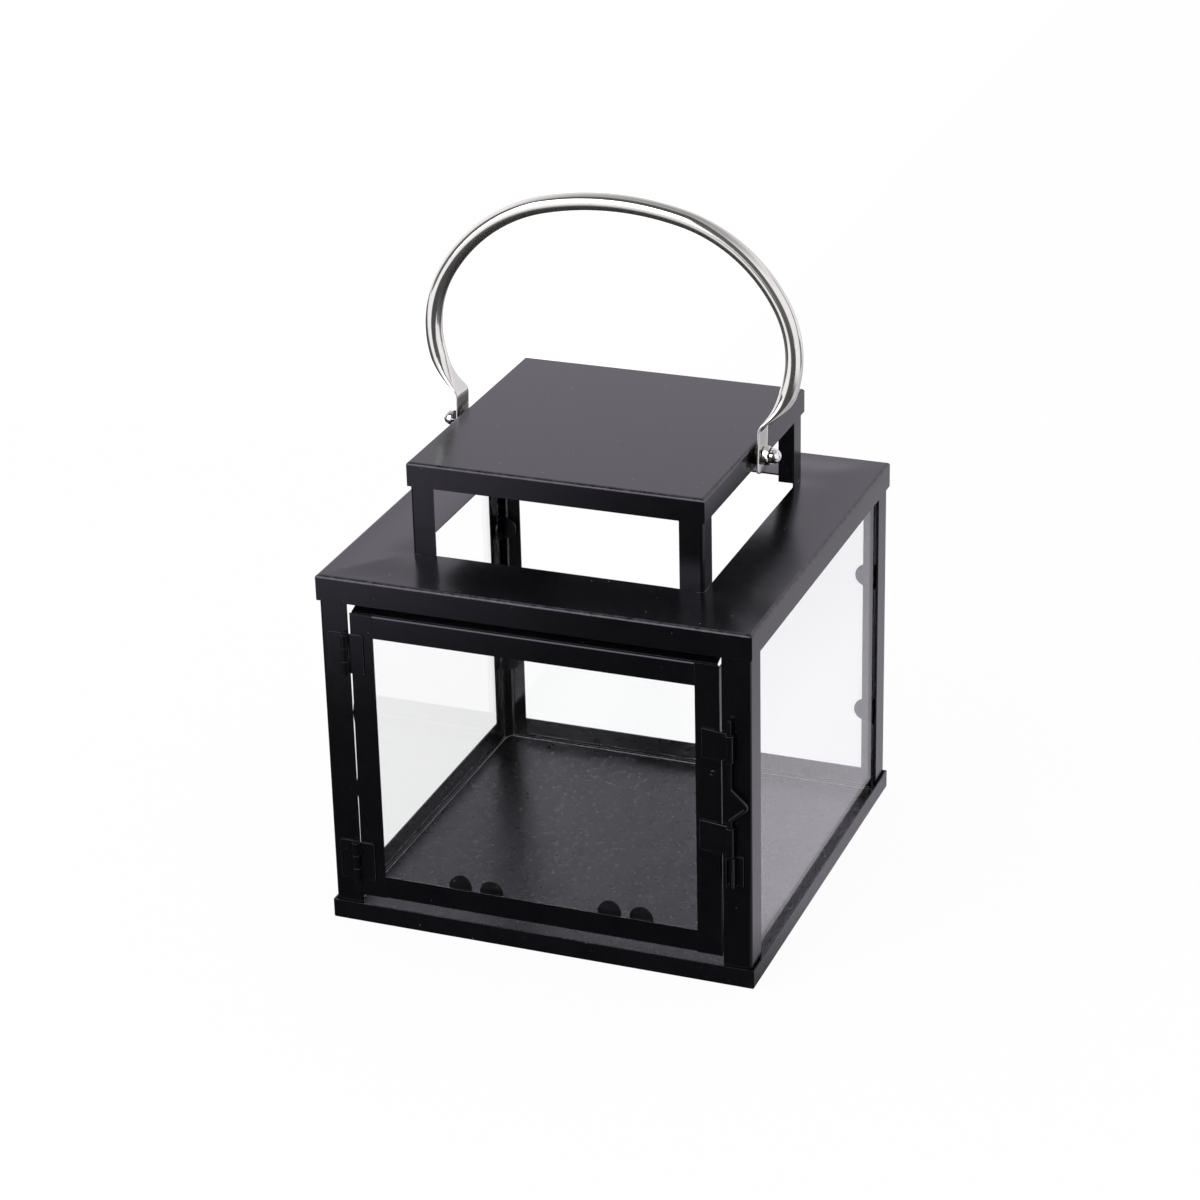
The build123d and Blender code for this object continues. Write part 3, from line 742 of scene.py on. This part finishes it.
def handle_rings():
    """Rings from the top of the loop down the right side to the end of the ear."""
    rings = []
    for i in range(loop_steps):
        rings.append(loop_ring(loop_end * i / loop_steps))
    kink = loop_ring(side_end)[0]
    before = kink - kink_reach * Vector((cos(side_end), -sin(side_end)))
    centre = before + kink_r * Vector((sin(side_end), cos(side_end)))
    for i in range(kink_steps + 1):
        turn = side_end - (side_end - pi / 2) * i / kink_steps
        middle = centre - kink_r * Vector((sin(turn), cos(turn)))
        rings.append((middle, Vector((cos(turn), -sin(turn))), ear_wide / 2, ear_thick / 2, 1.0))
    below = rings[-1][0]
    end = -ear_drop
    for i in range(1, ear_steps + 1):
        y = below.y + (end - below.y) * i / ear_steps
        left = y - end
        narrow = 0.0
        if left < ear_corner:
            narrow = ear_corner - sqrt(max(0.0, ear_corner ** 2 - (ear_corner - left) ** 2))
        rings.append((Vector((below.x, y)), Vector((0, -1)), ear_wide / 2 - narrow,
                      ear_thick / 2, 1.0))
    return rings


def handle_mesh():
    """The whole tube; its UV runs round it and along it, in metres."""
    half = handle_rings()
    rings = [(Vector((-m.x, m.y)), Vector((h.x, -h.y)), w, t, f)
             for m, h, w, t, f in reversed(half[1:])] + half
    mesh = bmesh.new()
    uv = mesh.loops.layers.uv.new("along")
    girth = 0.025
    up = Vector((0, sin(lean), cos(lean)))
    out = Vector((0, -cos(lean), sin(lean)))
    loops = []
    travelled = [0.0]
    for a, b in zip(rings, rings[1:]):
        travelled.append(travelled[-1] + (b[0] - a[0]).length)
    for middle, heading, wide, thick, way in rings:
        centre = pivot + Vector((middle.x, 0, 0)) + middle.y * up
        side_way = Vector((-heading.y, 0, 0)) + heading.x * up
        power = 1.0 - 0.5 * way ** 2
        loop = []
        for k in range(tube_sides):
            a = 2 * pi * k / tube_sides
            c, s = cos(a), sin(a)
            x = wide * (1 if c > 0 else -1) * abs(c) ** power
            y = thick * (1 if s > 0 else -1) * abs(s) ** power
            loop.append(mesh.verts.new(centre + x * out + y * side_way))
        loops.append(loop)
    for i, (first, second) in enumerate(zip(loops, loops[1:])):
        for k in range(tube_sides):
            j = (k + 1) % tube_sides
            face = mesh.faces.new((first[k], first[j], second[j], second[k]))
            face.smooth = True
            for loop, (u, v) in zip(face.loops, ((k, i), (k + 1, i), (k + 1, i + 1), (k, i + 1))):
                loop[uv].uv = (u / tube_sides * girth, travelled[v])
    mesh.faces.new(loops[0][::-1])
    mesh.faces.new(loops[-1])
    bmesh.ops.recalc_face_normals(mesh, faces=mesh.faces)
    data = bpy.data.meshes.new("handle_tube")
    mesh.to_mesh(data)
    return data


def polished_tube():
    """Stainless tube, polished lengthwise: fine lines along it, faint finger marks."""
    fine_lines = (9000, 60, 1)  # lumps of the grain to a metre, round and along the tube
    material, tree, shader = new_material("polished_tube")
    along = tree.nodes.new("ShaderNodeUVMap")
    along.uv_map = "along"
    lines = placed(tree, "ShaderNodeMapping", Vector=along.outputs["UV"], Scale=fine_lines)
    grain = noise(tree, lines.outputs["Vector"], 1.0, 3.0, 0.6)
    place = millimetres(tree)
    prints = spread(tree, noise(tree, place, 0.12, 4.0, 0.6, 1.5), 0.45, 0.75)
    tone = blend_colour(tree, grain, (0.60, 0.6, 0.555), (0.70, 0.7, 0.65))
    tone = blend_colour(tree, product(tree, prints, 0.25), tone, (0.50, 0.48, 0.46))
    tree.links.new(tone, shader.inputs["Base Color"])
    rough = maths(tree, "ADD", spread(tree, grain, 0.3, 0.7, 0.06, 0.11),
                  product(tree, prints, 0.06))
    tree.links.new(rough, shader.inputs["Roughness"])
    relief(tree, shader, grain, 0.06, 0.00003)
    shader.inputs["Metallic"].default_value = 0.95
    return material


tube_steel = polished_tube()
new_piece("handle_tube", handle_mesh(), tube_steel, "handle", "handle_steel", "handle")


# ---- Pivots: washers, screws and acorn nuts ----
# At each side a steel screw from inside the cap passes a washer and the ear, and a domed nut
# closes it. Screws and nuts are nickel-plated; the washers are near black as painted shade
# between ear and cap.

def bright_plate(name, rough, clean=(0.78, 0.77, 0.75), tired=(0.55, 0.53, 0.5)):
    """Plated steel with tiny pits, dull spots and painted shade in its corners."""
    material, tree, shader = new_material(name)
    place = millimetres(tree)
    dull = spread(tree, noise(tree, place, 1.1, 5.0, 0.7), 0.4, 0.75)
    # painted shade, near black, in the corners marked on the mesh
    corner = tree.nodes.new("ShaderNodeAttribute")
    corner.attribute_name = "crease_shade"
    shade_caught = product(tree, corner.outputs["Fac"],
                     spread(tree, noise(tree, place, 0.9, 4.0), 0.3, 0.6, 0.6, 1.0))
    tree.links.new(blend_colour(tree, shade_caught, blend_colour(tree, dull, clean, tired),
                                (0.02, 0.019, 0.018)), shader.inputs["Base Color"])
    tree.links.new(spread(tree, dull, 0, 1, rough, rough + 0.12), shader.inputs["Roughness"])
    relief(tree, shader, noise(tree, place, 3.0, 3.0), 0.1, 0.00005)
    shader.inputs["Metallic"].default_value = 1.0
    return material


def acorn_nut():
    """Hexagon with turned corners, a neck and a domed cap, standing on the YZ plane along +X."""
    low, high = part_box("acorn_nut_right")
    seat, tall = low.x, high.x - low.x
    half_flats, hex_high, dome_r, neck_r = 0.00375, 0.0032, 0.0034, 0.0027
    around, dome_rings = 96, 14
    # how far from the seat, and the radius there
    profile = [(0.0, 0.0), (0.0, 0.0035), (0.0003, 0.0042), (0.0006, 0.0046),
               (0.0024, 0.0046), (0.0028, 0.0042), (hex_high, 0.0036), (hex_high, neck_r),
               (hex_high + 0.00025, neck_r), (hex_high + 0.00035, dome_r - 0.00012),
               (hex_high + 0.0005, dome_r)]
    shoulder = tall - dome_r
    profile += [(shoulder + dome_r * sin(a), dome_r * cos(a))
                for a in [pi / 2 * i / dome_rings for i in range(dome_rings)]]
    profile += [(tall, 0.0)]
    shape = bmesh.new()
    shade_layer = shape.verts.layers.float.new("crease_shade")
    loops = []
    for x, r in profile:
        if r == 0.0:
            loops.append([shape.verts.new((seat + x, 0, 0))])
            continue
        loop = []
        for k in range(around):
            a = 2 * pi * k / around
            corner = (a + pi / 6) % (pi / 3) - pi / 6
            radius = min(r, half_flats / cos(corner)) if x <= hex_high and r > neck_r else r
            loop.append(shape.verts.new((seat + x, radius * sin(a), radius * cos(a))))
        loops.append(loop)
    # painted shade sits where the hexagon meets the neck, and at the seat
    for (x, r), loop in zip(profile, loops):
        for v in loop:
            v[shade_layer] = 1.0 if abs(x - hex_high) < 0.0003 or x < 0.0002 else 0.0
    for first, second in zip(loops, loops[1:]):
        for k in range(around):
            j = (k + 1) % around
            if len(first) == 1:
                shape.faces.new((first[0], second[j], second[k]))
            elif len(second) == 1:
                shape.faces.new((first[k], first[j], second[0]))
            else:
                shape.faces.new((first[k], first[j], second[j], second[k]))
    bmesh.ops.remove_doubles(shape, verts=shape.verts, dist=1e-7)
    bmesh.ops.recalc_face_normals(shape, faces=shape.faces)
    return shaded(shape, "acorn_nut", 28)


def pair_tree():
    """The same fastener at both ends of the pivot line, the second turned half round."""
    tree, given, result = new_group("Geometry", "fastener_pair", (
        ("Fastener", "Geometry"), ("Height of pivot", 0.2), ("Twist", 0.2),
        ("Plate", "Material")), ("Pair",), "Geometry")
    pivot_place = placed(tree, "ShaderNodeCombineXYZ", Z=given["Height of pivot"])
    ends = placed(tree, "GeometryNodeMeshLine", Count=2, Offset=(0, 0, 0),
                  Start_Location=pivot_place.outputs["Vector"])
    number = tree.nodes.new("GeometryNodeInputIndex").outputs["Index"]
    turn = placed(tree, "ShaderNodeCombineXYZ", X=given["Twist"],
                  Z=maths(tree, "MULTIPLY", number, pi))
    put = placed(tree, "GeometryNodeInstanceOnPoints", Points=ends.outputs["Mesh"],
                 Instance=given["Fastener"], Rotation=turn.outputs["Vector"])
    whole = placed(tree, "GeometryNodeRealizeInstances", Geometry=put.outputs["Instances"])
    fill(tree, result, Pair=coated(tree, whole.outputs["Geometry"], given["Plate"]))
    return tree


nickel = bright_plate("nickel_plate", 0.05)
nuts = grown(pair_tree(), acorn_nut(), Height_of_pivot=pivot.z, Twist=0.2, Plate=nickel)
new_piece("acorn_nuts", nuts, nickel, "lantern_body", "chrome", "acorn_nut_left",
          "acorn_nut_right")
# washers near black: painted shade between the ear and the cap's flange
dark_oxide = bright_plate("dark_oxide", 0.35, (0.07, 0.068, 0.066), (0.12, 0.11, 0.1))
for side in ("left", "right"):
    finish_node(f"handle_screw_{side}", nickel)
    finish_node(f"handle_washer_{side}", dark_oxide)


# ---- Table, light and camera ----
# A plain white sweep with one large softbox at the front left. Paint, glass and tube also mirror
# a room that the eye never sees: a window at the front left, walls beside it that are dark in
# front and bright further round, a grey ceiling, and a sweep that glows in parts with painted
# light and shade that only mirrors show.

def any_of(tree, *sockets):
    """The largest of several 0 to 1 values."""
    value = sockets[0]
    for socket in sockets[1:]:
        value = maths(tree, "MAXIMUM", value, socket)
    return value


def kinds_of_ray(tree):
    """Seen directly or straight through glass, and seen as a reflection: each 0, or about 1."""
    glass_loss = 1.06  # makes up for what two panes take away
    ray = tree.nodes.new("ShaderNodeLightPath").outputs
    turned_back = maths(tree, "MINIMUM", ray["Glossy Depth"], 1.0)
    straight = maths(tree, "SUBTRACT", 1.0, turned_back)
    through = ray["Is Transmission Ray"]
    plain = any_of(tree, ray["Is Camera Ray"], product(tree, through, straight))
    mirrored = any_of(tree, ray["Is Glossy Ray"], product(tree, through, turned_back))
    lift = spread(tree, ray["Is Camera Ray"], 0, 1, glass_loss, 1.0)
    return product(tree, plain, lift), maths(tree, "SUBTRACT", mirrored, plain, clamp=True)


def violet_in_mirrors(tree, plain):
    """White to the eye, and a little violet in what mirrors it."""
    return blend_colour(tree, plain, (1.0, 0.965, 1.05), (1, 1, 1))


def white_sweep():
    """Matt white sheet. It glows plain white to the eye, and to what mirrors it glows in parts as
    painted light and painted shade.

    Places are in metres from the middle of the lantern."""
    material, tree, shader = new_material("white_sweep")
    place = tree.nodes.new("ShaderNodeTexCoord").outputs["Object"]
    shade = blend_colour(tree, noise(tree, place, 40.0), (0.8, 0.8, 0.8), (0.84, 0.84, 0.84))
    fill(tree, shader, Base_Color=shade, Roughness=0.9)
    spot = placed(tree, "ShaderNodeSeparateXYZ", Vector=place).outputs
    across = spot["X"]
    in_front = product(tree, spot["Y"], -1.0)
    leftward = product(tree, across, -1.0)

    # painted light: lit in front, beyond an edge at each side that slants outwards
    left_edge = spread(tree, in_front, 0.45, 4.45, 0.13, 1.2)
    left_lit = product(tree, spread(tree, in_front, 0.3, 0.5),
                       spread(tree, maths(tree, "SUBTRACT", leftward, left_edge), -0.02, 0.12))
    right_edge = spread(tree, in_front, 0.5, 2.5, 0.42, 1.9)
    right_lit = spread(tree, maths(tree, "SUBTRACT", across, right_edge), 0.0, 0.14)

    # painted light from the middle backwards, from a little nearer at the right, later at far left
    nearer = maths(tree, "SUBTRACT", in_front, spread(tree, across, 0.08, 0.12, 0.0, 0.12))
    back_lit = product(tree, spread(tree, nearer, 0.06, -0.06),
                       any_of(tree, spread(tree, leftward, 0.3, 0.15),
                              spread(tree, in_front, -0.2, -0.5)))
    unlit = 0.03
    lit = spread(tree, any_of(tree, left_lit, right_lit, back_lit), 0.0, 1.0, unlit, 1.0)

    # painted light, brighter further out
    outwards = any_of(tree, spread(tree, across, 0.5, 0.8, 0.8, 1.3),
                      spread(tree, leftward, 0.1, 0.3, 0.8, 1.35))

    # painted shade: dimmer in a strip beside the right pane and in a wedge at the far right
    beside = product(tree, spread(tree, across, 0.16, 0.24), spread(tree, across, 0.36, 0.3),
                     spread(tree, in_front, 0.05, -0.02), spread(tree, in_front, -0.66, -0.6))
    round_room = maths(tree, "ARCTAN2", across, in_front)
    wedge = product(tree, spread(tree, across, 0.6, 0.75),
                    product(tree, spread(tree, round_room, 1.62, 1.75),
                            spread(tree, round_room, 2.22, 2.1)))
    painted_dimming = any_of(tree, product(tree, beside, 0.32), product(tree, wedge, 0.8))
    painted_shine = product(tree, lit, outwards, maths(tree, "SUBTRACT", 1.0, painted_dimming))

    plain, mirrored = kinds_of_ray(tree)
    glow = placed(tree, "ShaderNodeEmission", Strength=any_of(tree, plain, painted_shine),
                  Color=violet_in_mirrors(tree, plain))
    seen = any_of(tree, product(tree, plain, 0.95), product(tree, mirrored, 0.97))
    mix = placed(tree, "ShaderNodeMixShader", Fac=seen)
    tree.links.new(shader.outputs["BSDF"], mix.inputs[1])
    tree.links.new(glow.outputs["Emission"], mix.inputs[2])
    tree.links.new(mix.outputs["Shader"], tree.nodes["Material Output"].inputs["Surface"])
    return material


table = bpy.data.meshes.new("table")
reach = 4
table.from_pydata([(-reach, -reach, 0), (reach, -reach, 0), (reach, reach, 0),
                   (-reach, reach, 0)], [], [(0, 1, 2, 3)])
table.materials.append(white_sweep())
table_top = bpy.data.objects.new("table", table)
bpy.context.scene.collection.objects.link(table_top)

world = bpy.data.worlds.new("studio")
bpy.context.scene.world = world
world.use_nodes = True
room = world.node_tree
ambient = room.nodes["Background"]
ambient.inputs["Color"].default_value = (0.95, 0.95, 0.96, 1)
way = placed(room, "ShaderNodeSeparateXYZ",
             Vector=room.nodes.new("ShaderNodeTexCoord").outputs["Generated"]).outputs
frontwards = product(room, way["Y"], -1.0)
turned = maths(room, "ARCTAN2", way["X"], frontwards)
up_way = way["Z"]


def room_part(left, right, low, high, soft, lean_over=0.0):
    """1 inside a part of the room and 0 outside it; angles from straight in front."""
    round_room = maths(room, "SUBTRACT", turned, product(room, up_way, lean_over))
    return product(room, spread(room, round_room, left - soft, left),
                   spread(room, round_room, right + soft, right),
                   spread(room, up_way, low - 0.1, low), spread(room, up_way, high + 0.1, high))


# walls that are dark in front and bright further round, and grey above
ceiling = spread(room, up_way, 0.6, 0.9, 1.0, 0.42)
left_wall = spread(room, frontwards, 0.06, 0.3, 1.3, 0.1)
right_wall = spread(room, maths(room, "ADD", turned, product(room, up_way, 0.35)),
                    0.58, 0.74, 0.09, 1.3)
walls = product(room, any_of(room, left_wall, right_wall), ceiling)

# the window, a dark stand at the right, and a dimmer wall right behind
window = product(room, 1.4, room_part(-0.76, -0.18, -1.0, 0.55, 0.1))
stand = spread(room, room_part(1.75, 1.95, -1.0, 0.5, 0.1, 0.6), 0.0, 1.0, 1.0, 0.25)
rear = spread(room, maths(room, "ABSOLUTE", turned), 2.2, 2.7, 1.0, 0.77)
glare = product(room, any_of(room, walls, window), stand, rear)

plain, mirrored = kinds_of_ray(room)
white = placed(room, "ShaderNodeBackground", Strength=any_of(room, plain, glare),
               Color=violet_in_mirrors(room, plain))
either = placed(room, "ShaderNodeMixShader", Fac=any_of(room, plain, mirrored))
room.links.new(ambient.outputs["Background"], either.inputs[1])
room.links.new(white.outputs["Background"], either.inputs[2])
room.links.new(either.outputs["Shader"], room.nodes["World Output"].inputs["Surface"])


def soft_light(name, place, aim, size, watts):
    """Rectangular softbox at a place, turned to what it lights."""
    light = bpy.data.lights.new(name, "AREA")
    light.shape = "RECTANGLE"
    light.size, light.size_y = size
    light.energy = watts
    lamp = bpy.data.objects.new(name, light)
    lamp.location = place
    lamp.rotation_euler = (Vector(aim) - Vector(place)).to_track_quat("-Z", "Y").to_euler()
    bpy.context.scene.collection.objects.link(lamp)


soft_light("softbox_front", (-0.99, -1.83, 1.15), (0, 0, 0.15), (1.5, 1.6), 28)

lens = bpy.data.cameras.new("camera")
lens.lens = 103.7
lens.sensor_width = 36
camera = bpy.data.objects.new("camera", lens)
bpy.context.scene.collection.objects.link(camera)
yaw, height, roll = radians(21.53), radians(24.42), radians(-1.41)
back_way = Vector((sin(yaw) * cos(height), -cos(yaw) * cos(height), sin(height)))
camera.rotation_mode = "QUATERNION"
camera.rotation_quaternion = ((-back_way).to_track_quat("-Z", "Y")
                              @ Matrix.Rotation(roll, 3, "Z").to_quaternion())
camera.location = (0.51772, -1.32920, 0.77672)
bpy.context.scene.camera = camera
bpy.context.scene.view_settings.view_transform = "Standard"
